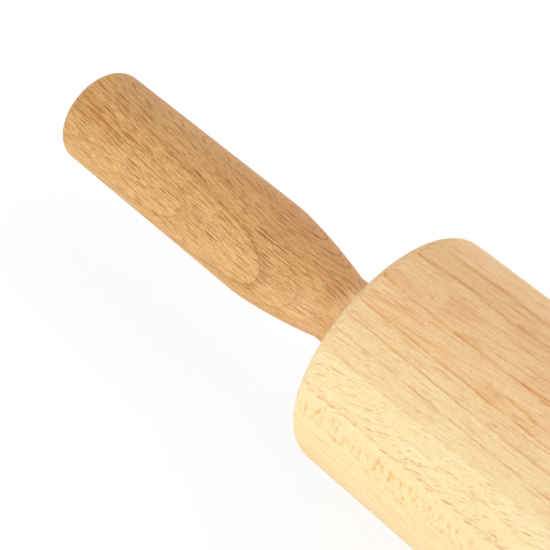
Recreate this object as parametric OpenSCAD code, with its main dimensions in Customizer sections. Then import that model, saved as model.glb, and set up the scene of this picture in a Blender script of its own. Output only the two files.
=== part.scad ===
// Rolling pin with a revolving barrel: a turned beech barrel runs on two nylon bushes
// round a steel axle, and the axle's knurled ends are pressed into two turned handles.
// The axle lies along X, +Z is up, and the origin is the middle of the barrel on the
// axle's centreline. All lengths are in millimetres.

/* [Barrel] */
// Diameter of the barrel
barrel_d = 60; // [44:0.5:90]
// Length of the barrel between its two end faces
barrel_len = 250; // [120:1:400]
// Radius of the rounded rim at each end of the barrel
rim_r = 3.5; // [0.5:0.1:6]
// Gap all round between the axle and the long bore of the barrel
bore_gap = 2; // [0.5:0.1:2.5]

/* [Handles] */
// Length of each handle from its neck face to its butt
handle_len = 97.7; // [84:0.1:140]
// Diameter of the straight grip
grip_d = 25; // [20:0.5:34]
// Diameter of the straight neck beside the barrel
neck_d = 17; // [14:0.5:20]
// Length of the straight neck
neck_len = 12.6; // [4:0.1:20]
// Length over which the neck swells to the grip
swell_len = 24.5; // [14:0.5:40]
// Slope at which the swell leaves the neck, as rise over run
swell_slope = 0.26; // [0.1:0.01:0.45]
// Radius of the rounded edge at the butt
butt_r = 2.4; // [0.5:0.1:6]
// Bevel round the neck face
neck_bevel = 0.5; // [0.2:0.1:1.5]

/* [Axle] */
// Diameter of the steel rod
axle_d = 8; // [6:0.5:10]
// Length of rod held in each handle
axle_hold = 62; // [44:1:75]
// Bevel at each end of the rod
axle_bevel = 0.8; // [0.2:0.1:1.5]
// Length of the straight knurl near each end of the rod
knurl_len = 34; // [10:1:36]
// Distance from the end of the rod to its knurl
knurl_setback = 5; // [2:0.5:8]
// Number of ridges in the knurl
knurl_ridges = 24; // [12:1:36]
// Height of a ridge above the rod, which is its bite in the wood
knurl_bite = 0.2; // [0.1:0.05:0.4]
// Depth left free in the handle beyond the end of the rod
hold_spare = 3; // [1:0.5:6]

/* [Bearings] */
// Wall of the sleeve of each nylon bush
bush_wall = 3; // [2.6:0.1:4]
// Length of the sleeve under the flange
bush_len = 22; // [14:1:34]
// Running gap all round between the axle and a bush
bush_gap = 0.05; // [0.02:0.01:0.1]
// Diameter of the flange of a bush
flange_d = 22; // [20:0.5:30]
// Thickness of the flange
flange_t = 2; // [1.2:0.1:3]
// Height of the flange above the end face of the barrel
flange_proud = 0.4; // [0.2:0.1:1]
// Number of barbs round the sleeve, which keep the bush in the wood
barbs = 3; // [1:1:4]
// Height of a barb above the sleeve
barb_bite = 0.25; // [0.1:0.05:0.5]
// Length of one barb along the sleeve
barb_len = 2.4; // [1.5:0.1:2.6]
// Diameter of the steel washer between a bush and a handle
washer_d = 16; // [14:0.5:17]
// Thickness of the washer
washer_t = 1.6; // [1:0.1:2.5]
// Gap all round between the axle and a washer
washer_gap = 0.2; // [0.1:0.05:0.4]
// Free travel of the barrel along the axle at each end
end_float = 0.3; // [0.1:0.05:0.8]

/* [Hidden] */
$fn = 96;

beech_pale = [0.91, 0.76, 0.55];
beech_warm = [0.80, 0.60, 0.39];
steel = [0.74, 0.75, 0.77];
nylon = [0.93, 0.92, 0.88];

swell_steps = 22;    // straight steps along the swell
mouth_bevel = 0.6;   // bevel at the mouth of each drilled hole
seat_room = 0.15;    // gap round a flange in its recess
pocket_spare = 1;    // depth left free beyond the end of a bush's sleeve
drill_tip = 59;      // half the point angle of a twist drill, in degrees
over = 1;            // how far a cutter runs past the face that it opens

half = barrel_len / 2;
axle_r = axle_d / 2;
sleeve_r = axle_r + bush_gap + bush_wall;
float_x = half + flange_proud + end_float;      // inner face of a washer
neck_x = float_x + washer_t;                    // neck face of a handle
axle_half = neck_x + axle_hold;

// Lays a shape turned about Z along X, so that Z = 0 comes to X = x and Z runs outwards.
module along_axle(x = 0) {
    translate([x, 0, 0]) rotate([0, 90, 0]) children();
}

// Puts a piece made for the right-hand end at the left-hand end.
module left_end() {
    mirror([1, 0, 0]) children();
}

// Half section of a solid round bar from height low to height high, as [radius, height],
// with its upper edge rounded by a true quarter circle.
module bar_section(radius, low, high, edge_r) {
    translate([0, low]) square([radius, high - low - edge_r]);
    translate([0, low]) square([radius - edge_r, high - low]);
    translate([radius - edge_r, high - edge_r]) circle(r = edge_r);
}

// Point at t on the cubic curve with the four control points p.
function on_curve(p, t) =
    pow(1 - t, 3) * p[0] + 3 * pow(1 - t, 2) * t * p[1] + 3 * (1 - t) * t * t * p[2]
    + pow(t, 3) * p[3];

// Drilled hole of radius r from Z = 0 down to -depth, with a bevelled mouth. A pointed
// hole ends in the cone that a twist drill leaves.
module drilled(r, depth, pointed = false) {
    tip = pointed ? r / tan(drill_tip) : 0;
    translate([0, 0, -depth]) cylinder(r = r, h = depth + over);
    translate([0, 0, -mouth_bevel]) cylinder(r1 = r, r2 = r + mouth_bevel, h = mouth_bevel);
    if (pointed) translate([0, 0, -depth - tip]) cylinder(r1 = 0, r2 = r, h = tip);
}

// One end of the barrel's boring: the recess for the flange and the pocket for the sleeve.
module bush_pocket() {
    translate([0, 0, half - (flange_t - flange_proud)])
        cylinder(d = flange_d + 2 * seat_room, h = flange_t);
    translate([0, 0, half - (flange_t - flange_proud)])
        drilled(sleeve_r, bush_len + pocket_spare);
}

module barrel() {
    color(beech_pale) along_axle() difference() {
        rotate_extrude() {
            bar_section(barrel_d / 2, 0, half, rim_r);
            mirror([0, 1]) bar_section(barrel_d / 2, 0, half, rim_r);
        }
        cylinder(r = axle_r + bore_gap, h = barrel_len, center = true);
        bush_pocket();
        mirror([0, 0, 1]) bush_pocket();
    }
}

// Straight knurl: ridges with pointed crests that stand out of the rod.
module knurl() {
    linear_extrude(knurl_len)
        polygon([for (i = [0:2 * knurl_ridges - 1])
            let (a = 180 * i / knurl_ridges, r = axle_r + (i % 2 == 0 ? knurl_bite : -knurl_bite))
            r * [cos(a), sin(a)]]);
}

module axle() {
    color(steel) along_axle() {
        rotate_extrude() polygon([
            [0, -axle_half], [axle_r - axle_bevel, -axle_half], [axle_r, -axle_half + axle_bevel],
            [axle_r, axle_half - axle_bevel], [axle_r - axle_bevel, axle_half], [0, axle_half]]);
        for (end = [0, 1]) mirror([0, 0, end])
            translate([0, 0, axle_half - knurl_setback - knurl_len]) knurl();
    }
}

// Outline of a handle's neck and swell as [radius, height], with the neck face at height 0.
function neck_outline() = let (
        neck_r = neck_d / 2,
        grip_r = grip_d / 2,
        swell_end = neck_len + swell_len,
        // the swell leaves the neck on its slope and comes to the grip tangent to it
        lead = 0.36 * swell_len,
        settle = 0.21 * swell_len,
        swell = [[neck_r, neck_len], [neck_r + swell_slope * lead, neck_len + lead],
                 [grip_r, swell_end - settle], [grip_r, swell_end]])
    concat([[0, 0], [neck_r - neck_bevel, 0], [neck_r, neck_bevel]],
           [for (i = [0:swell_steps]) on_curve(swell, i / swell_steps)],
           [[0, swell_end]]);

module handle() {
    color(beech_warm) along_axle(neck_x) difference() {
        rotate_extrude() {
            polygon(neck_outline());
            bar_section(grip_d / 2, neck_len + swell_len, handle_len, butt_r);
        }
        mirror([0, 0, 1]) drilled(axle_r, axle_hold + hold_spare, pointed = true);
    }
}

// Outline of a bush's wall, with its flange face at height 0 and its sleeve below.
function bush_outline() = let (
        inner = axle_r + bush_gap,
        flange_r = flange_d / 2,
        edge = flange_t / 5,
        foot = -flange_t - bush_len,
        pitch = bush_len / (barbs + 1))
    concat([[inner + edge, 0], [flange_r - edge, 0], [flange_r, -edge], [flange_r, -flange_t],
            [sleeve_r, -flange_t]],
           [for (i = [1:barbs]) let (z = -flange_t - i * pitch + barb_len / 2)
               each [[sleeve_r, z], [sleeve_r + barb_bite, z], [sleeve_r, z - barb_len]]],
           [[sleeve_r, foot + mouth_bevel], [sleeve_r - mouth_bevel, foot],
            [inner + edge, foot], [inner, foot + edge], [inner, -edge]]);

module bush() {
    color(nylon) along_axle(half + flange_proud)
        rotate_extrude() polygon(bush_outline());
}

module washer() {
    hole_r = axle_r + washer_gap;
    edge = washer_t / 6;
    color(steel) along_axle(float_x)
        rotate_extrude() polygon([
            [hole_r, 0], [washer_d / 2 - edge, 0], [washer_d / 2, edge],
            [washer_d / 2, washer_t - edge], [washer_d / 2 - edge, washer_t], [hole_r, washer_t]]);
}

barrel();
axle();
left_end() handle();  // left_handle
handle();  // right_handle
left_end() bush();  // left_bush
bush();  // right_bush
left_end() washer();  // left_washer
washer();  // right_washer
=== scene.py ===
# Beech rolling pin with a revolving barrel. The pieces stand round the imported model,
# in metres: X along the axle, Z up, the origin in the middle of the barrel.
import bpy
from math import cos, sin, radians, pi
from mathutils import Euler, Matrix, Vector


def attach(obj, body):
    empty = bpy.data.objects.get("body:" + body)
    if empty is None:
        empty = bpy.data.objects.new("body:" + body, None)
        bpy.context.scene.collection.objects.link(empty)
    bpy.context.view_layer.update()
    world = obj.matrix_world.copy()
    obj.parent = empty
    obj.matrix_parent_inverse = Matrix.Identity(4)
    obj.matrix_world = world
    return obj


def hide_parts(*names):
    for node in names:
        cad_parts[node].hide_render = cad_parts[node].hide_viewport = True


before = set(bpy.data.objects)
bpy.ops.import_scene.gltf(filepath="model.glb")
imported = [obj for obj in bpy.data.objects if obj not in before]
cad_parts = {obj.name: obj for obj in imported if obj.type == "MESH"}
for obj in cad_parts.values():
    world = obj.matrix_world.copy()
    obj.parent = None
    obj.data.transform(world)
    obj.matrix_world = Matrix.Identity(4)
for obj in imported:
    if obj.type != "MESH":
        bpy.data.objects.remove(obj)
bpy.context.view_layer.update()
print("frame loaded:", ", ".join(sorted(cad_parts)))

perMetre = 1000    # millimetres


# Camera, at the photograph's viewing angle
camera = {
    "place": (0.0417, -0.1888, 0.3183),
    "turn": 47.00,        # degrees round Z
    "tilt": 40.42,        # degrees from looking straight down
    "lens": 119.32,       # millimetres, as the sensor is
    "sensor": 36,
    "nearest": 0.01,      # nothing closer than this is drawn
}

cameraData = bpy.data.cameras.new("camera")
cameraData.lens = camera["lens"]
cameraData.sensor_width = camera["sensor"]
cameraData.clip_start = camera["nearest"]
cameraObject = bpy.data.objects.new("camera", cameraData)
cameraObject.location = camera["place"]
cameraObject.rotation_euler = (radians(camera["tilt"]), 0, radians(camera["turn"]))
bpy.context.scene.collection.objects.link(cameraObject)
bpy.context.scene.camera = cameraObject
print("camera placed")


# Colours are written as they look on screen, 0 to 255
def screenColour(red, green, blue):
    channels = [c / 255 for c in (red, green, blue)]
    return tuple(c / 12.92 if c <= 0.04045 else ((c + 0.055) / 1.055) ** 2.4
                 for c in channels) + (1.0,)


# Short names for the nodes that the materials use
def newMaterial(name):
    material = bpy.data.materials.new(name)
    material.use_nodes = True
    tree = material.node_tree
    tree.nodes.clear()
    output = tree.nodes.new("ShaderNodeOutputMaterial")
    shader = tree.nodes.new("ShaderNodeBsdfPrincipled")
    tree.links.new(shader.outputs["BSDF"], output.inputs["Surface"])
    return material, tree, shader


def plug(tree, socket, value):
    if hasattr(value, "is_output"):
        tree.links.new(value, socket)
    else:
        socket.default_value = value


def calc(tree, operation, a, b=None, c=None):
    node = tree.nodes.new("ShaderNodeMath")
    node.operation = operation
    for socket, value in zip(node.inputs, (a, b, c)):
        if value is not None:
            plug(tree, socket, value)
    return node.outputs[0]


def times(tree, *factors):
    product = factors[0]
    for factor in factors[1:]:
        product = calc(tree, "MULTIPLY", product, factor)
    return product


def join(tree, x, y, z):
    node = tree.nodes.new("ShaderNodeCombineXYZ")
    for socket, value in zip(node.inputs, (x, y, z)):
        plug(tree, socket, value)
    return node.outputs[0]


def split(tree, source):
    node = tree.nodes.new("ShaderNodeSeparateXYZ")
    plug(tree, node.inputs[0], source)
    return node.outputs[0], node.outputs[1], node.outputs[2]


def vectorCalc(tree, operation, a, b=None):
    node = tree.nodes.new("ShaderNodeVectorMath")
    node.operation = operation
    plug(tree, node.inputs[0], a)
    if b is not None:
        plug(tree, node.inputs[1], b)
    return node.outputs["Value" if operation == "LENGTH" else "Vector"]


def noise(tree, place, detail=2.0, roughness=0.5, colour=False):
    node = tree.nodes.new("ShaderNodeTexNoise")
    plug(tree, node.inputs["Vector"], place)
    node.inputs["Scale"].default_value = 1.0
    node.inputs["Detail"].default_value = detail
    node.inputs["Roughness"].default_value = roughness
    return node.outputs["Color" if colour else "Fac"]


def remap(tree, value, low, high, toLow=0.0, toHigh=1.0, smooth=False):
    node = tree.nodes.new("ShaderNodeMapRange")
    node.interpolation_type = "SMOOTHSTEP" if smooth else "LINEAR"
    for socket, item in zip(node.inputs, (value, low, high, toLow, toHigh)):
        plug(tree, socket, item)
    return node.outputs[0]


def blendColour(tree, amount, a, b):
    node = tree.nodes.new("ShaderNodeMix")
    node.data_type = "RGBA"
    plug(tree, node.inputs["Factor"], amount)
    plug(tree, node.inputs["A"], a)
    plug(tree, node.inputs["B"], b)
    return node.outputs["Result"]


# A point of the surface in millimetres, turned and then moved, and the surface's normal
def measuredPlace(tree, turn=(0, 0, 0), start=(0, 0, 0)):
    coordinates = tree.nodes.new("ShaderNodeTexCoord")
    mapping = tree.nodes.new("ShaderNodeMapping")
    plug(tree, mapping.inputs["Vector"], coordinates.outputs["Object"])
    mapping.inputs["Scale"].default_value = (perMetre,) * 3
    mapping.inputs["Rotation"].default_value = turn
    mapping.inputs["Location"].default_value = start
    return mapping.outputs[0], coordinates.outputs["Normal"]


def addBump(tree, shader, height, strength, distance):
    bump = tree.nodes.new("ShaderNodeBump")
    bump.inputs["Strength"].default_value = strength
    bump.inputs["Distance"].default_value = distance
    plug(tree, bump.inputs["Height"], height)
    plug(tree, shader.inputs["Normal"], bump.outputs[0])


# Beech. Each wooden piece is cut from a tree laid out in millimetres: along its fibres,
# out from the pith, and round the pith. Rings, rays and pores are solid, so they meet
# truly where a side turns into an end.
beech = {
    # each pattern: length, width and depth of its cells in millimetres, its shift along the
    # grain, and how fine and how rough its noise is
    "patterns": {
        "waver": (14, 2.5, 2.5, 4, 2, 0.6),       # of the rings
        "fray": (4, 0.4, 0.4, 23, 2, 0.6),        # of the rings' edges
        "patches": (6, 1.4, 1.4, 8, 3, 0.6),      # where lines and late wood fade
        "thread": (45, 1.5, 1.5, 73, 2, 0.55),
        "band": (70, 2.6, 2.6, 41, 2, 0.6),
        "streak": (16, 0.75, 1.8, 0, 3, 0.6),
        "fibre": (6.0, 0.30, 1.4, 31, 2, 0.6),
        "pore": (2.2, 0.16, 0.8, 57, 1, 0.5),
        "cloud": (34, 9, 9, 12, 2, 0.5),
        "speck": (0.6, 0.24, 0.24, 91, 1, 0.6),
        "blush": (11, 3.2, 3.2, 37, 3, 0.6),      # reddish clouds
        "rayFade": (2.4, 1.7, 1.7, 66, 1, 0.5),
    },
    # where each thing starts to show and where it shows in full, as values of its own
    # noise, and for some the shares that it has at the two
    "shows": {
        "cloud": (0.35, 0.65), "band": (0.42, 0.66), "blush": (0.5, 0.72),
        "streak": (0.44, 0.66), "fibre": (0.46, 0.68), "pore": (0.5, 0.72),
        "darkSpeck": (0.5, 0.75), "brightSpeck": (0.5, 0.25), "gleam": (0.5, 0.3),
        "rayFade": (0.35, 0.6), "placedStreak": (0.35, 0.6, 0.2, 1.0),
        "patchyLate": (0.3, 0.7, 0.6, 1.0), "patchyLine": (0.35, 0.62, 0.15, 1.0),
        "patchyThread": (0.38, 0.58),
        "thread": (0.03, 0.004),        # either side of the middle of its noise
        "heart": (3.0, -9.0),           # millimetres to the side of the pith
        "contrastTone": (0.0, 0.5),     # tone of the ring
        "deepRays": (0.05, 0.3),        # tone of the ring
        "dashes": (0.08, 0.16),         # from quarter-sawn, 0, to flat-sawn, 1
        "flecks": (0.19, 0.09),
        "rows": (0.35, 0.25),
        "endGrain": (0.7, 1.0),         # how squarely the surface faces the axle's ends
        "roughFibre": (0.25, 0.75),
    },
    "bendAside": 0.2,              # share of the bend that goes sideways
    "flatGain": (0.9, 0.4),        # how much more flat-sawn wood shows, and the least
    "streakTone": 0.6,             # added to the ring's tone
    "streakCore": 0.1,             # middle of a placed streak that has its full share
    "markShift": (17.3, 3.1),      # between two layers of marks, in cells
    "fleckLayer": 7,               # rays have the layers from 1, and flecks those from here
    "fleckLayerStep": 2,
    "rowShift": 31.7,              # between two rows of flecks, in cells
    "shortestMark": 0.45,          # as a share of the longest
    "shortestRung": 0.5,
    "faintestRung": 0.25,
    "rungCore": 0.1,
    "reach": 1.05,                 # where a mark has faded out, in half sizes
    "roughSpread": 0.05,
    "rayPolish": 0.08,             # rays are this much smoother
    "fibreHeight": 0.5, "poreHeight": -0.4, "rayHeight": -0.2,
    "bumpDistance": 0.00005,
    "ior": 1.45,
}


def beechMaterial(name, wood):
    material, tree, shader = newMaterial(name)
    nodes = tree.nodes
    shows = beech["shows"]
    pith = wood["pithDistance"]
    turn = Euler([radians(a) for a in wood["turn"]], "XYZ")
    start = Vector((wood["along"], pith, 0))
    start -= turn.to_matrix() @ Vector((wood["anchor"], 0, 0))
    straight, normal = measuredPlace(tree, turn, start)

    def roundPith(outward, sideways):
        return times(tree, calc(tree, "ARCTAN2", sideways, outward), pith)

    # no tree is quite straight, so a slow bend moves all but the rays
    along, outward, sideways = split(tree, straight)
    rayAround = roundPith(outward, sideways)
    bendLength, bendWidth = wood["bendPitch"]
    slow = vectorCalc(tree, "DIVIDE", straight, (bendLength, bendWidth, bendWidth))
    bend = vectorCalc(tree, "SUBTRACT", noise(tree, slow, colour=True), (0.5, 0.5, 0.5))
    most = (0, wood["bend"], beech["bendAside"] * wood["bend"])
    bend = vectorCalc(tree, "MULTIPLY", bend, most)
    along, outward, sideways = split(tree, vectorCalc(tree, "ADD", straight, bend))
    radius = vectorCalc(tree, "LENGTH", join(tree, 0.0, outward, sideways))
    around = roundPith(outward, sideways)

    def pattern(key):
        length, width, depth, shift, detail, roughness = beech["patterns"][key]
        place = join(tree, calc(tree, "MULTIPLY_ADD", along, 1 / length, shift),
                     calc(tree, "DIVIDE", radius, depth), calc(tree, "DIVIDE", around, width))
        return noise(tree, place, detail, roughness)

    def stained(colour, amount, tint):
        return blendColour(tree, amount, colour, wood[tint])

    # the rings waver and their edges fray
    waver = calc(tree, "SUBTRACT", pattern("waver"), 0.5)
    fray = calc(tree, "SUBTRACT", pattern("fray"), 0.5)
    ringRadius = calc(tree, "MULTIPLY_ADD", waver, wood["waver"], radius)
    ringRadius = calc(tree, "MULTIPLY_ADD", fray, wood["fray"], ringRadius)

    # a curve turns the distance from the pith into a ring number
    rings = wood["rings"]
    edges = [pith + ring[0] for ring in rings]
    count = len(rings) - 1
    span = edges[-1] - edges[0]
    curve = nodes.new("ShaderNodeFloatCurve")
    line = curve.mapping.curves[0]
    for i, edge in enumerate(edges[1:-1]):
        line.points.new((edge - edges[0]) / span, (i + 1) / count)
    for point in line.points:
        point.handle_type = "VECTOR"
    curve.mapping.update()
    plug(tree, curve.inputs["Value"], remap(tree, ringRadius, edges[0], edges[-1]))
    ring = times(tree, curve.outputs[0], float(count))
    phase = calc(tree, "FRACT", ring)
    number = calc(tree, "FLOOR", ring)

    # and a stepped ramp gives each ring its own tone, line and late wood
    ramp = nodes.new("ShaderNodeValToRGB")
    ramp.color_ramp.interpolation = "CONSTANT"
    stops = ramp.color_ramp.elements
    while len(stops) < count:
        stops.new(0.5)
    for i in range(count):
        stops[i].position = i / count
        stops[i].color = (rings[i][1], rings[i][2], rings[i][3], 1)
    middle = calc(tree, "ADD", number, 0.5)
    plug(tree, ramp.inputs[0], calc(tree, "DIVIDE", middle, float(count)))
    tone, lineTone, lateTone = split(tree, ramp.outputs["Color"])
    contrast = remap(tree, tone, *shows["contrastTone"], wood["plain"], 1.0)

    # late wood darkens slowly, and ends in a broken line at the ring's edge
    patchy = pattern("patches")
    late = times(tree, calc(tree, "POWER", phase, wood["lateSharpness"]),
                 remap(tree, patchy, *shows["patchyLate"]), lateTone)
    edge = times(tree, remap(tree, phase, 1 - wood["lineShare"], 1.0, smooth=True),
                 remap(tree, patchy, *shows["patchyLine"]), lineTone)

    # threads: long thin lines that wander along the grain
    thread = calc(tree, "ABSOLUTE", calc(tree, "SUBTRACT", pattern("thread"), 0.5))
    thread = times(tree, remap(tree, thread, *shows["thread"], smooth=True),
                   remap(tree, patchy, *shows["patchyThread"], smooth=True), contrast)

    colour = blendColour(tree, remap(tree, pattern("cloud"), *shows["cloud"]),
                         wood["pale"], wood["warm"])
    colour = stained(colour, tone, "deep")
    colour = stained(colour, remap(tree, sideways, *shows["heart"], 0.0, wood["heartShare"]),
                     "heart")
    bands = remap(tree, pattern("band"), *shows["band"], 0.0, wood["bandContrast"])
    colour = stained(colour, times(tree, bands, contrast), "late")
    blush = remap(tree, pattern("blush"), *shows["blush"], 0.0, wood["blushShare"])
    colour = stained(colour, times(tree, blush, tone), "blush")
    colour = stained(colour, times(tree, late, wood["lateContrast"]), "late")
    colour = stained(colour, times(tree, edge, wood["lineContrast"]), "line")
    colour = stained(colour, times(tree, thread, wood["threadContrast"]), "line")

    # how squarely the surface faces the pith: 1 on flat-sawn wood, 0 on quarter-sawn
    facing = nodes.new("ShaderNodeMapping")
    facing.vector_type = "VECTOR"
    facing.inputs["Rotation"].default_value = turn
    plug(tree, facing.inputs["Vector"], normal)
    _, faceOut, faceSide = split(tree, facing.outputs[0])
    flat = calc(tree, "MULTIPLY_ADD", faceOut, outward, times(tree, faceSide, sideways))
    flat = calc(tree, "ABSOLUTE", calc(tree, "DIVIDE", flat, radius))

    # streaks, fibres, pores and specks, which show more on flat-sawn wood
    flatMore = calc(tree, "MULTIPLY_ADD", flat, *beech["flatGain"])
    streaks = remap(tree, pattern("streak"), *shows["streak"], 0.0, wood["streakContrast"])
    streaks = times(tree, streaks, flatMore, calc(tree, "ADD", tone, beech["streakTone"]))
    colour = stained(colour, streaks, "line")
    fibre, pore, speck = pattern("fibre"), pattern("pore"), pattern("speck")
    for source, key, share, tint in (
            (fibre, "fibre", wood["fibreContrast"], "line"),
            (pore, "pore", wood["poreContrast"], "line"),
            (speck, "darkSpeck", wood["speckContrast"], "line"),
            (speck, "brightSpeck", wood["speckContrast"], "bright"),
            (fibre, "gleam", wood["gleam"], "bright")):
        share = remap(tree, source, *shows[key], 0.0, share)
        colour = stained(colour, times(tree, share, flatMore), tint)

    # single streaks at given places; on the left handle the broad "bright" ones by the barrel are
    # painted light, lightening the neck where the barrel shades it
    broken = remap(tree, fibre, *shows["placedStreak"])
    for x, angle, halfLength, halfWidth, share, tint in wood["streaks"]:
        angle = radians(angle)
        spot = Vector((x, -wood["size"] * cos(angle), wood["size"] * sin(angle)))
        spot = turn.to_matrix() @ spot + start
        away = join(tree, calc(tree, "MULTIPLY_ADD", along, 1 / halfLength, -spot.x / halfLength),
                    calc(tree, "MULTIPLY_ADD", sideways, 1 / halfWidth, -spot.z / halfWidth), 0.0)
        share = remap(tree, vectorCalc(tree, "LENGTH", away), 1.0, beech["streakCore"],
                      0.0, share, smooth=True)
        colour = stained(colour, times(tree, share, broken), tint)

    def looseCells(dimensions, loose):
        cell = nodes.new("ShaderNodeTexVoronoi")
        cell.voronoi_dimensions = dimensions
        cell.inputs["Randomness"].default_value = loose
        cell.inputs["Scale"].default_value = 1.0
        return cell

    # lens-shaped marks, one in each cell of a loose grid along the grain
    def marks(across, mark, layer, squeeze=1.0):
        pitch, half = mark["pitch"], mark["half"]
        cell = looseCells("2D", mark["loose"])
        lean = calc(tree, "MULTIPLY_ADD", waver, mark["lean"], along)
        shift = [step * layer for step in beech["markShift"]]
        spot = join(tree, calc(tree, "MULTIPLY_ADD", lean, 1 / pitch[0], shift[0]),
                    calc(tree, "MULTIPLY_ADD", across, 1 / pitch[1], shift[1]), 0.0)
        plug(tree, cell.inputs["Vector"], spot)
        away = vectorCalc(tree, "SUBTRACT", spot, cell.outputs["Position"])
        stretch = join(tree, pitch[0] / half[0],
                       calc(tree, "DIVIDE", pitch[1] / half[1], squeeze), 0.0)
        away = vectorCalc(tree, "MULTIPLY", away, stretch)
        length, strength, _ = split(tree, cell.outputs["Color"])
        near = calc(tree, "DIVIDE", vectorCalc(tree, "LENGTH", away),
                    remap(tree, length, 0.0, 1.0, beech["shortestMark"], 1.0))
        weight = times(tree, calc(tree, "POWER", strength, mark["spread"]), mark["strength"])
        return times(tree, remap(tree, near, beech["reach"], mark["edge"], smooth=True), weight)

    # rays: thin sheets that run out from the pith, seen edge-on as dashes
    rays = None
    squeeze = remap(tree, flat, 0.0, 1.0, wood["raySqueeze"], 1.0)
    for i, ray in enumerate(wood["rays"]):
        dashes = marks(rayAround, ray, i + 1, squeeze)
        rays = dashes if rays is None else calc(tree, "MAXIMUM", rays, dashes)
    fadeFrom, fadeTo, faded = wood["rayFade"]
    rays = times(tree, rays,
                 remap(tree, pattern("rayFade"), *shows["rayFade"], wood["rayLow"], 1.0),
                 remap(tree, flat, *shows["dashes"], wood["fleckShare"], 1.0),
                 remap(tree, radius, pith + fadeFrom, pith + fadeTo, 1.0, faded),
                 remap(tree, tone, *shows["deepRays"], 1.0, wood["rayDeep"]))
    colour = stained(colour, rays, "ray")

    # where the surface runs along the rays they show as flecks
    for i, fleck in enumerate(wood["flecks"]):
        layer = beech["fleckLayer"] + beech["fleckLayerStep"] * i
        flecks = times(tree, marks(radius, fleck, layer),
                       remap(tree, flat, *shows["flecks"], smooth=True))
        colour = stained(colour, flecks, "fleck")

    # and at some rings they stand in a row, like the rungs of a ladder
    for i, row in enumerate(wood["rows"]):
        cell = looseCells("1D", 1.0)
        place = calc(tree, "MULTIPLY_ADD", along, 1 / row["pitch"], beech["rowShift"] * (i + 1))
        plug(tree, cell.inputs["W"], place)
        ahead = times(tree, calc(tree, "SUBTRACT", place, cell.outputs["W"]), row["pitch"])
        length, strength, aside = split(tree, cell.outputs["Color"])
        aside = remap(tree, aside, 0.0, 1.0, -row["scatter"], row["scatter"])
        beside = calc(tree, "SUBTRACT", ringRadius, calc(tree, "ADD", aside, pith + row["at"]))
        beside = calc(tree, "MULTIPLY_ADD", ahead, row["slope"], beside)
        ahead = calc(tree, "MULTIPLY_ADD", fray, row["fray"], ahead)
        near = vectorCalc(tree, "LENGTH", join(
            tree, calc(tree, "DIVIDE", ahead, row["half"][0]),
            calc(tree, "DIVIDE", beside, row["half"][1]), 0.0))
        near = calc(tree, "DIVIDE", near,
                    remap(tree, length, 0.0, 1.0, beech["shortestRung"], 1.0))
        faintest = beech["faintestRung"] * row["strength"]
        rungs = times(tree, remap(tree, near, beech["reach"], beech["rungCore"], smooth=True),
                      remap(tree, strength, 0.0, 1.0, faintest, row["strength"]),
                      remap(tree, flat, *shows["rows"], smooth=True))
        colour = stained(colour, rungs, row["tint"])

    # end grain is darker
    endOn = calc(tree, "ABSOLUTE", split(tree, normal)[0])
    endGrain = remap(tree, endOn, *shows["endGrain"], 0.0, wood["endContrast"], smooth=True)
    colour = stained(colour, endGrain, "end")

    plug(tree, shader.inputs["Base Color"], colour)
    rough = remap(tree, fibre, *shows["roughFibre"], wood["roughness"] - beech["roughSpread"],
                  wood["roughness"] + beech["roughSpread"])
    rough = calc(tree, "MULTIPLY_ADD", rays, -beech["rayPolish"], rough)
    plug(tree, shader.inputs["Roughness"], rough)
    shader.inputs["IOR"].default_value = beech["ior"]
    shader.inputs["Specular IOR Level"].default_value = wood["specular"]

    height = times(tree, fibre, beech["fibreHeight"])
    height = calc(tree, "MULTIPLY_ADD", pore, beech["poreHeight"], height)
    height = calc(tree, "MULTIPLY_ADD", rays, beech["rayHeight"], height)
    addBump(tree, shader, height, wood["bump"], beech["bumpDistance"])
    return material


# A piece turned on the lathe: its outline, as (along the axle, distance from it) in
# millimetres, is drawn point by point and spun once round X.
lathe = {
    "weld": 0.000001,      # points closer than this become one
    "smoothUpTo": 28,      # degrees between faces; a sharper edge stays an edge
}


def turned(name, outline, steps):
    bpy.ops.object.select_all(action="DESELECT")
    bpy.ops.mesh.primitive_plane_add(size=0.001)
    piece = bpy.context.object
    piece.name = name
    bpy.ops.object.mode_set(mode="EDIT")
    bpy.ops.mesh.select_all(action="SELECT")
    bpy.ops.mesh.merge(type="CENTER")
    at = (0, 0)
    for i, point in enumerate(outline):
        step = ((point[0] - at[0]) / perMetre, 0, (point[1] - at[1]) / perMetre)
        if i == 0:
            bpy.ops.transform.translate(value=step)
        else:
            bpy.ops.mesh.extrude_region_move(TRANSFORM_OT_translate={"value": step})
        at = point
    bpy.ops.mesh.select_all(action="SELECT")
    bpy.ops.mesh.spin(steps=steps, angle=2 * pi, center=(0, 0, 0), axis=(1, 0, 0))
    bpy.ops.mesh.select_all(action="SELECT")
    bpy.ops.mesh.remove_doubles(threshold=lathe["weld"])
    bpy.ops.mesh.normals_make_consistent(inside=False)
    bpy.ops.object.mode_set(mode="OBJECT")
    bpy.ops.object.shade_smooth_by_angle(angle=radians(lathe["smoothUpTo"]))
    return piece


# From the side, at 90 degrees, round to the end, at 0
def quarterRound(centre, radius, steps):
    angles = [radians(90 - 90 * i / steps) for i in range(steps + 1)]
    return [(centre[0] + radius * cos(a), centre[1] + radius * sin(a)) for a in angles]


def mirrored(outline):
    return [(-x, r) for x, r in reversed(outline)]


# Barrel
barrel = {
    "half": 125.0,            # from its middle to an end face
    "radius": 29.97,
    "rim": 3.5,               # radius of the rounded rim
    "rimSteps": 12,
    "recess": (11.15, 1.6),   # radius and depth of the seat of the bush's flange
    "recessEdge": 0.15,       # bevel at the mouth of that seat
    "pocket": (7.05, 24.6),   # radius, and depth from the end face
    "bore": 6.0,
    "bevel": 0.6,
    "steps": 224,
}

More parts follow.
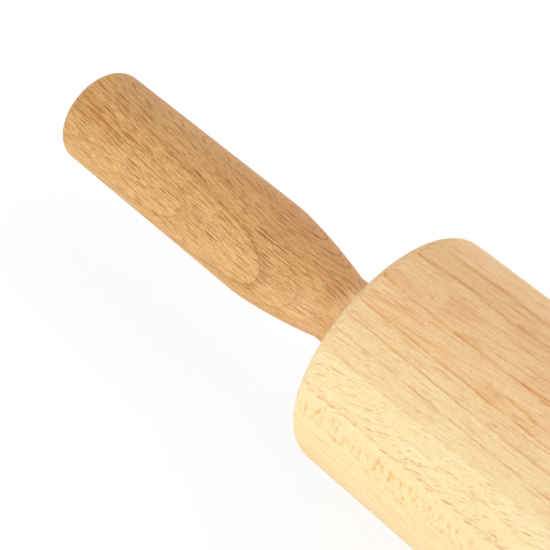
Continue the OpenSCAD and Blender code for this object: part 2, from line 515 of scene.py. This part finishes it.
barrelWood = {
    "size": 30,               # radius of the piece, to place its single streaks
    # how the piece lies in its tree: degrees, the place on the axle that it turns about,
    # the place along the trunk, and the distance of the axle from the pith
    "turn": (107, 4.4, 0),
    "anchor": -100,
    "along": 0,
    "pithDistance": 600,
    # each ring: its inner edge in millimetres from the axle, away from the pith, then how
    # deep its tone is, how strong the line at its outer edge and its late wood
    "rings": [
        (-40, 0.6, 0.5, 1), (-35, 0.7, 0.6, 1), (-31, 0.88, 1.0, 0.5), (-29.83, 0.78, 1.0, 0.9),
        (-26.65, 0.66, 1.0, 1), (-22.60, 0.40, 1.0, 0.8), (-19.86, 0.24, 1.0, 0.5),
        (-16.88, 0.26, 0.15, 0.2), (-12.88, 0.0, 0.1, 0.2), (-8.6, 0.02, 0.4, 0.5),
        (-3.65, 0.0, 0.15, 0.2), (0.2, 0.0, 0.25, 0.2), (3.36, 0.03, 0.2, 0.3),
        (6.5, 0.05, 0.2, 0.3), (9.5, 0.06, 0.25, 0.35), (12.5, 0.08, 0.3, 0.4),
        (15.5, 0.1, 0.4, 0.6), (18.5, 0.28, 0.5, 1), (21.5, 0.2, 0.4, 0.8),
        (24.5, 0.35, 0.6, 1), (27.5, 0.25, 0.4, 0.8), (30.5, 0.35, 0.5, 1),
        (34, 0.35, 0.5, 1), (40, 0, 0, 0)],
    "bend": 0.5, "bendPitch": (50, 24), "waver": 0.5, "fray": 0.2,
    "lateSharpness": 2.5, "lineShare": 0.13, "plain": 0.2, "blushShare": 0.35,
    "lateContrast": 0.35, "lineContrast": 0.95, "bandContrast": 0.18, "threadContrast": 0.6,
    "streakContrast": 0.12, "fibreContrast": 0.14, "poreContrast": 0.18, "gleam": 0.14,
    "speckContrast": 0.21, "fleckShare": 0.15, "rayFade": (3.0, 7.0, 0.35), "raySqueeze": 0.5,
    "rayLow": 0.4, "rayDeep": 0.45, "heartShare": 0.0, "endContrast": 0.5, "specular": 0.3,
    # single streaks: millimetres along the axle and degrees round it from the front, half
    # length and half width in millimetres, share and colour
    "streaks": [
        (-112, 101, 15, 0.55, 0.9, "line"), (-92, 101.5, 12, 0.4, 0.7, "line"),
        (-105, 113.5, 7, 0.6, 0.9, "line"), (-119, 116, 4, 0.5, 0.7, "line"),
        (-104, 90.5, 7, 2.6, 0.6, "blush"), (-118, 84, 9, 1.6, 0.4, "blush"),
        (-78, 82, 16, 0.5, 0.8, "line"), (-60, 95, 18, 0.5, 0.8, "line")],
    "fleck": screenColour(236, 174, 94),
    "blush": screenColour(226, 150, 104),
    "pale": screenColour(246, 228, 176),
    "warm": screenColour(245, 223, 168),
    "bright": screenColour(253, 238, 196),
    "deep": screenColour(238, 195, 142),
    "heart": screenColour(237, 193, 139),
    "late": screenColour(239, 191, 136),
    "line": screenColour(212, 142, 80),
    "ray": screenColour(214, 138, 68),
    "end": screenColour(214, 170, 118),
    # layers of marks: pitch and half size along and across the grain in millimetres, how
    # strong they are and how few of them reach that, how loosely they stand, how sharp
    # their edge is, and how far they follow the waver of the rings
    "rays": [
        {"pitch": (5.4, 0.74), "half": (2.5, 0.140), "strength": 0.8, "spread": 0.9,
         "loose": 0.9, "edge": 0.3, "lean": 0.0},
        {"pitch": (4.2, 0.52), "half": (2.0, 0.100), "strength": 0.7, "spread": 0.9,
         "loose": 0.9, "edge": 0.3, "lean": 0.0},
        {"pitch": (1.9, 0.42), "half": (0.8, 0.075), "strength": 0.6, "spread": 0.9,
         "loose": 0.9, "edge": 0.5, "lean": 0.0},
    ],
    "flecks": [
        {"pitch": (3.4, 2.6), "half": (0.60, 1.5), "strength": 0.9, "spread": 2.5,
         "loose": 0.9, "edge": 0.0, "lean": 3.0},
    ],
    # rows of flecks: place among the rings in millimetres, as for the rings, pitch along
    # the grain, half size, scatter to the side, slope, fray, strength and colour
    "rows": [
        {"at": 0.9, "pitch": 1.9, "half": (0.50, 2.6), "scatter": 0.7, "slope": 0.0,
         "fray": 2.0, "strength": 0.85, "tint": "fleck"},
        {"at": 0.6, "pitch": 3.3, "half": (0.75, 2.2), "scatter": 1.2, "slope": 0.05,
         "fray": 2.5, "strength": 0.8, "tint": "fleck"},
        {"at": 2.8, "pitch": 5.2, "half": (0.85, 1.1), "scatter": 1.0, "slope": 0.3,
         "fray": 2.0, "strength": 1.0, "tint": "fleck"},
        {"at": 5.6, "pitch": 6.5, "half": (1.00, 0.5), "scatter": 2.2, "slope": 0.1,
         "fray": 1.0, "strength": 0.8, "tint": "fleck"},
        {"at": -3.5, "pitch": 3.0, "half": (2.30, 0.36), "scatter": 0.3, "slope": 0.2,
         "fray": 1.0, "strength": 0.85, "tint": "ray"},
        {"at": -4.6, "pitch": 4.2, "half": (2.30, 0.30), "scatter": 0.9, "slope": 0.2,
         "fray": 1.0, "strength": 0.7, "tint": "ray"},
        {"at": -8.6, "pitch": 4.2, "half": (2.60, 0.28), "scatter": 0.6, "slope": 0.2,
         "fray": 1.0, "strength": 0.7, "tint": "fleck"},
    ],
    "roughness": 0.55, "bump": 0.3,
}

size = barrel
recessRadius, recessDepth = size["recess"]
pocketRadius, pocketDepth = size["pocket"]
recessFloor = size["half"] - recessDepth
pocketFloor = size["half"] - pocketDepth
rimCentre = (size["half"] - size["rim"], size["radius"] - size["rim"])
rightEnd = quarterRound(rimCentre, size["rim"], size["rimSteps"]) + [
    (size["half"], recessRadius + size["recessEdge"]),
    (size["half"] - size["recessEdge"], recessRadius), (recessFloor, recessRadius),
    (recessFloor, pocketRadius + size["bevel"]), (recessFloor - size["bevel"], pocketRadius),
    (pocketFloor, pocketRadius), (pocketFloor, size["bore"])]
leftEnd = mirrored(rightEnd)
barrelPiece = turned("turnedBarrel", leftEnd + rightEnd + leftEnd[:1], size["steps"])
barrelPiece.data.materials.append(beechMaterial("barrelBeech", barrelWood))
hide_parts("barrel")
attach(barrelPiece, "barrel")
print("barrel turned")


# Handles
handle = {
    "neckFace": 127.3,        # from the barrel's middle
    "butt": 224.99,
    "neckRadius": 8.5,
    "gripRadius": 12.5,
    "swell": (139.9, 164.4),  # where the neck starts to swell and where the grip is reached
    "slope": 0.26,            # rise over run as the swell leaves the neck
    "lead": 0.36,             # share of the swell that its curve leans on that slope
    "settle": 0.21,           # and that it takes to settle into the grip
    "swellSteps": 28,
    "neckBevel": 0.5,
    "buttRound": 2.4,
    "buttSteps": 10,
    "hole": (4.0, 65.0),      # radius and depth of the axle's hole
    "holeBevel": 0.6,
    "tipSlope": 1.664,        # radius over length of the cone that the drill leaves
    "steps": 144,
}

leftHandleWood = dict(barrelWood, **{
    "size": 12.5,
    "turn": (210, 3.5, -3.7),
    "anchor": -156.2,
    "along": 37,
    "pithDistance": 90,
    "rings": [
        (-20, 0.5, 0.5, 0.6), (-17.5, 0.4, 0.5, 0.6), (-15, 0.6, 0.5, 0.6),
        (-12.6, 0.4, 0.5, 0.6), (-10.2, 0.6, 0.5, 0.6), (-7.9, 0.5, 0.2, 0.3),
        (-5.4, 0.62, 0.2, 0.3), (-3.1, 0.55, 0.2, 0.3), (-0.8, 0.58, 0.2, 0.3),
        (1.9, 0.5, 0.2, 0.3), (4.6, 0.36, 0.2, 0.3), (6.2, 0.12, 0.3, 0.25),
        (7.6, 0.04, 0.6, 0.7), (9.16, 0.0, 1.0, 1.0), (11.6, 0.0, 0.4, 0.6),
        (14.05, 0.05, 0.5, 0.6), (16.7, 0.3, 0.5, 0.8), (19.3, 0.2, 0.5, 0.8),
        (21.5, 0.2, 0.5, 0.8), (24, 0, 0, 0)],
    "bend": 1.4, "bendPitch": (30, 14), "waver": 0.45, "fray": 0.15,
    "lateSharpness": 2.4, "lineShare": 0.16, "plain": 0.5, "blushShare": 0.25,
    "lateContrast": 0.85, "lineContrast": 0.4, "bandContrast": 0.28, "threadContrast": 0.2,
    "streakContrast": 0.07, "fibreContrast": 0.08, "gleam": 0.06, "speckContrast": 0.22,
    "fleckShare": 0.5, "rayFade": (30, 40, 1.0), "raySqueeze": 0.4, "rayLow": 0.75,
    "rayDeep": 1.0, "heartShare": 0.5,
    "streaks": [
        (-214, 53, 22, 4.2, 0.6, "late"), (-214, 94, 16, 4.0, 0.35, "late"),
        (-216, 57, 11, 0.60, 1.0, "line"), (-220, 64, 8, 0.50, 1.0, "line"),
        (-207, 62, 11, 0.45, 0.8, "line"), (-221, 49, 8, 0.50, 0.9, "line"),
        (-217, 70, 9, 0.40, 0.7, "line"), (-214, 78, 10, 0.45, 0.6, "line"),
        # the four "bright" patches by the barrel are painted light: they lighten the neck where
        # the barrel's shade falls on it
        (-178, 92, 14, 0.8, 0.4, "line"), (-142, 16, 9, 7.0, 0.55, "bright"),
        (-152, 16, 7, 4.0, 0.3, "bright"), (-133, 60, 7, 7.0, 0.75, "bright"),
        (-142, 46, 7, 4.5, 0.2, "bright"), (-158, 82, 12, 5.0, 0.4, "late")],
    "pale": screenColour(234, 191, 124),
    "warm": screenColour(231, 182, 114),
    "bright": screenColour(255, 218, 166),
    "deep": screenColour(209, 149, 90),
    "heart": screenColour(206, 154, 102),
    "late": screenColour(192, 134, 80),
    "blush": screenColour(206, 134, 84),
    "line": screenColour(172, 110, 46),
    "ray": screenColour(128, 66, 2),
    "fleck": screenColour(176, 110, 54),
    "end": screenColour(186, 134, 82),
    "rays": [
        {"pitch": (7.6, 0.78), "half": (3.8, 0.100), "strength": 1.0, "spread": 0.5,
         "loose": 0.8, "edge": 0.75, "lean": 0.0},
        {"pitch": (5.6, 0.54), "half": (2.8, 0.078), "strength": 0.95, "spread": 0.5,
         "loose": 0.8, "edge": 0.75, "lean": 0.0},
        {"pitch": (3.4, 0.40), "half": (1.6, 0.060), "strength": 0.85, "spread": 0.5,
         "loose": 0.8, "edge": 0.75, "lean": 0.0},
    ],
    "flecks": [
        {"pitch": (2.6, 2.2), "half": (0.35, 1.0), "strength": 0.6, "spread": 1.6,
         "loose": 0.9, "edge": 0.2, "lean": 2.0},
        {"pitch": (1.2, 1.6), "half": (0.20, 0.7), "strength": 0.4, "spread": 1.2,
         "loose": 0.9, "edge": 0.2, "lean": 2.0},
    ],
    "rows": [],
    "bump": 0.35,
})

rightHandleWood = dict(leftHandleWood, turn=(142, -2.5, 2.0), anchor=180, along=210, streaks=[
    (206, 70, 14, 0.8, 0.7, "line"), (172, 20, 12, 1.0, 0.6, "line")])

size = handle
neckEnd, gripStart = size["swell"]
lead = size["lead"] * (gripStart - neckEnd)
settle = size["settle"] * (gripStart - neckEnd)
pull = [Vector((neckEnd, size["neckRadius"])),
        Vector((neckEnd + lead, size["neckRadius"] + size["slope"] * lead)),
        Vector((gripStart - settle, size["gripRadius"])),
        Vector((gripStart, size["gripRadius"]))]


# Point at t, from 0 to 1, on the swell's curve
def onSwell(t):
    return ((1 - t) ** 3 * pull[0] + 3 * (1 - t) ** 2 * t * pull[1]
            + 3 * (1 - t) * t * t * pull[2] + t ** 3 * pull[3])


hole, depth = size["hole"]
holeEnd = size["neckFace"] + depth
buttCentre = (size["butt"] - size["buttRound"], size["gripRadius"] - size["buttRound"])
rightHandle = [
    (holeEnd + hole / size["tipSlope"], 0), (holeEnd, hole),
    (size["neckFace"] + size["holeBevel"], hole), (size["neckFace"], hole + size["holeBevel"]),
    (size["neckFace"], size["neckRadius"] - size["neckBevel"]),
    (size["neckFace"] + size["neckBevel"], size["neckRadius"])]
rightHandle += [tuple(onSwell(i / size["swellSteps"])) for i in range(size["swellSteps"] + 1)]
rightHandle += quarterRound(buttCentre, size["buttRound"], size["buttSteps"])
rightHandle += [(size["butt"], 0)]
for side, outline, wood in (("left", mirrored(rightHandle), leftHandleWood),
                            ("right", rightHandle, rightHandleWood)):
    piece = turned(side + "TurnedHandle", outline, size["steps"])
    piece.data.materials.append(beechMaterial(side + "HandleBeech", wood))
    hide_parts(side + "_handle")
    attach(piece, "grips")
print("handles turned")


# Axle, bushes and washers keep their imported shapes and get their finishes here
axleSteel = {
    "light": screenColour(206, 206, 204), "dull": screenColour(182, 183, 184),
    "linePitch": (5.0, 0.25, 0.25),     # lines of the lathe, per millimetre along X, Y and Z
    "stainPitch": (0.12, 0.2, 0.2),
    "lineFineness": (2.0, 0.6),         # detail and roughness of the noise
    "stainFineness": (3.0, 0.6),
    "stainShows": (0.35, 0.65),
    # between two values of the noise the roughness gains from one figure to the other
    "roughness": 0.26, "lineRoughness": (0.3, 0.7, -0.06, 0.06),
    "stainRoughness": (0.45, 0.7, 0.0, 0.12),
    "bump": 0.35, "bumpDistance": 0.00002,
}
washerSteel = dict(axleSteel, **{
    "light": screenColour(214, 216, 216), "dull": screenColour(190, 194, 200),
    "linePitch": (2.0, 0.25, 0.25),
    "roughness": 0.34, "bump": 0.25,
})
bushNylon = {
    "light": screenColour(240, 238, 228), "shade": screenColour(230, 227, 214),
    "grainPitch": (5, 5, 5), "flowPitch": (0.1, 0.3, 0.3),
    "flowShows": (0.35, 0.65),
    "roughness": 0.42, "grainRoughness": (0.3, 0.7, -0.07, 0.07),
    "glow": 0.15, "glowDepth": 0.001, "ior": 1.53,
    "bump": 0.2, "bumpDistance": 0.00002,
}


def steelMaterial(name, steel):
    material, tree, shader = newMaterial(name)
    place, _ = measuredPlace(tree)
    lines = vectorCalc(tree, "MULTIPLY", place, steel["linePitch"])
    lines = noise(tree, lines, *steel["lineFineness"])
    stain = vectorCalc(tree, "MULTIPLY", place, steel["stainPitch"])
    stain = noise(tree, stain, *steel["stainFineness"])
    stained = remap(tree, stain, *steel["stainShows"])
    rough = calc(tree, "ADD", remap(tree, lines, *steel["lineRoughness"]),
                 remap(tree, stain, *steel["stainRoughness"]))
    shader.inputs["Metallic"].default_value = 1.0
    plug(tree, shader.inputs["Base Color"],
         blendColour(tree, stained, steel["light"], steel["dull"]))
    plug(tree, shader.inputs["Roughness"], calc(tree, "ADD", rough, steel["roughness"]))
    addBump(tree, shader, lines, steel["bump"], steel["bumpDistance"])
    return material


def nylonMaterial(name, nylon):
    material, tree, shader = newMaterial(name)
    place, _ = measuredPlace(tree)
    grain = noise(tree, vectorCalc(tree, "MULTIPLY", place, nylon["grainPitch"]))
    flow = noise(tree, vectorCalc(tree, "MULTIPLY", place, nylon["flowPitch"]))
    shaded = remap(tree, flow, *nylon["flowShows"])
    rough = remap(tree, grain, *nylon["grainRoughness"])
    plug(tree, shader.inputs["Base Color"],
         blendColour(tree, shaded, nylon["light"], nylon["shade"]))
    plug(tree, shader.inputs["Roughness"], calc(tree, "ADD", rough, nylon["roughness"]))
    shader.inputs["Subsurface Weight"].default_value = nylon["glow"]
    shader.inputs["Subsurface Scale"].default_value = nylon["glowDepth"]
    shader.inputs["IOR"].default_value = nylon["ior"]
    addBump(tree, shader, grain, nylon["bump"], nylon["bumpDistance"])
    return material


def dress(node, material):
    for slot in bpy.data.objects[node].material_slots:
        slot.material = material


dress("axle", steelMaterial("axleSteel", axleSteel))
washerFinish = steelMaterial("washerSteel", washerSteel)
bushFinish = nylonMaterial("bushNylon", bushNylon)
for side in ("left", "right"):
    dress(side + "_washer", washerFinish)
    dress(side + "_bush", bushFinish)
print("axle, bushes and washers finished")


# Floor, lamps and world
stage = {
    "floorSize": 4.0,
    "floorZ": -0.03,
    "floorGrey": 0.85,
    "floorRoughness": 0.9,
    "ownWhite": 0.82,      # share of the floor's whiteness that a shadow can't touch
    "ownStrength": 1.06,
    "ambient": 0.5,
}

bpy.ops.object.select_all(action="DESELECT")
bpy.ops.mesh.primitive_plane_add(size=stage["floorSize"], location=(0, 0, stage["floorZ"]))
floor = bpy.context.object
floor.name = "floor"
bpy.ops.object.transform_apply(location=True, rotation=True, scale=True)
floorMaterial, tree, shader = newMaterial("floorPaper")
shader.inputs["Base Color"].default_value = (stage["floorGrey"],) * 3 + (1,)
shader.inputs["Roughness"].default_value = stage["floorRoughness"]


# 1 where the camera sees a thing straight, in a reflection or through glass
def seenDirectly(tree):
    path = tree.nodes.new("ShaderNodeLightPath")
    return calc(tree, "MAXIMUM", path.outputs["Is Camera Ray"],
                calc(tree, "MAXIMUM", path.outputs["Is Glossy Ray"],
                     path.outputs["Is Transmission Ray"]))


output = [n for n in tree.nodes if n.type == "OUTPUT_MATERIAL"][0]
white = tree.nodes.new("ShaderNodeEmission")
white.inputs["Strength"].default_value = stage["ownStrength"]
mix = tree.nodes.new("ShaderNodeMixShader")
plug(tree, mix.inputs[0], times(tree, seenDirectly(tree), stage["ownWhite"]))
tree.links.new(shader.outputs[0], mix.inputs[1])
tree.links.new(white.outputs[0], mix.inputs[2])
tree.links.new(mix.outputs[0], output.inputs["Surface"])
floor.data.materials.append(floorMaterial)

world = bpy.data.worlds.new("studio")
bpy.context.scene.world = world
world.use_nodes = True
tree = world.node_tree
tree.nodes.clear()
background = tree.nodes.new("ShaderNodeBackground")
background.inputs["Color"].default_value = (1, 1, 1, 1)
plug(tree, background.inputs["Strength"],
     remap(tree, seenDirectly(tree), 0.0, 1.0, stage["ambient"], 1.0))
worldOutput = tree.nodes.new("ShaderNodeOutputWorld")
tree.links.new(background.outputs[0], worldOutput.inputs["Surface"])

lamps = {
    "key": {"place": (-0.35, -1.35, 0.40), "size": 0.9, "watts": 11.5},
    "top": {"place": (0.3, 0.85, 1.1), "size": 1.2, "watts": 10.2},
}
for name, lamp in lamps.items():
    data = bpy.data.lights.new(name, "AREA")
    data.shape = "SQUARE"
    data.size = lamp["size"]
    data.energy = lamp["watts"]
    lampObject = bpy.data.objects.new(name, data)
    lampObject.location = lamp["place"]
    lampObject.rotation_euler = (-Vector(lamp["place"])).to_track_quat("-Z", "Y").to_euler()
    bpy.context.scene.collection.objects.link(lampObject)

bpy.context.scene.view_settings.view_transform = "Standard"
print("stage set")
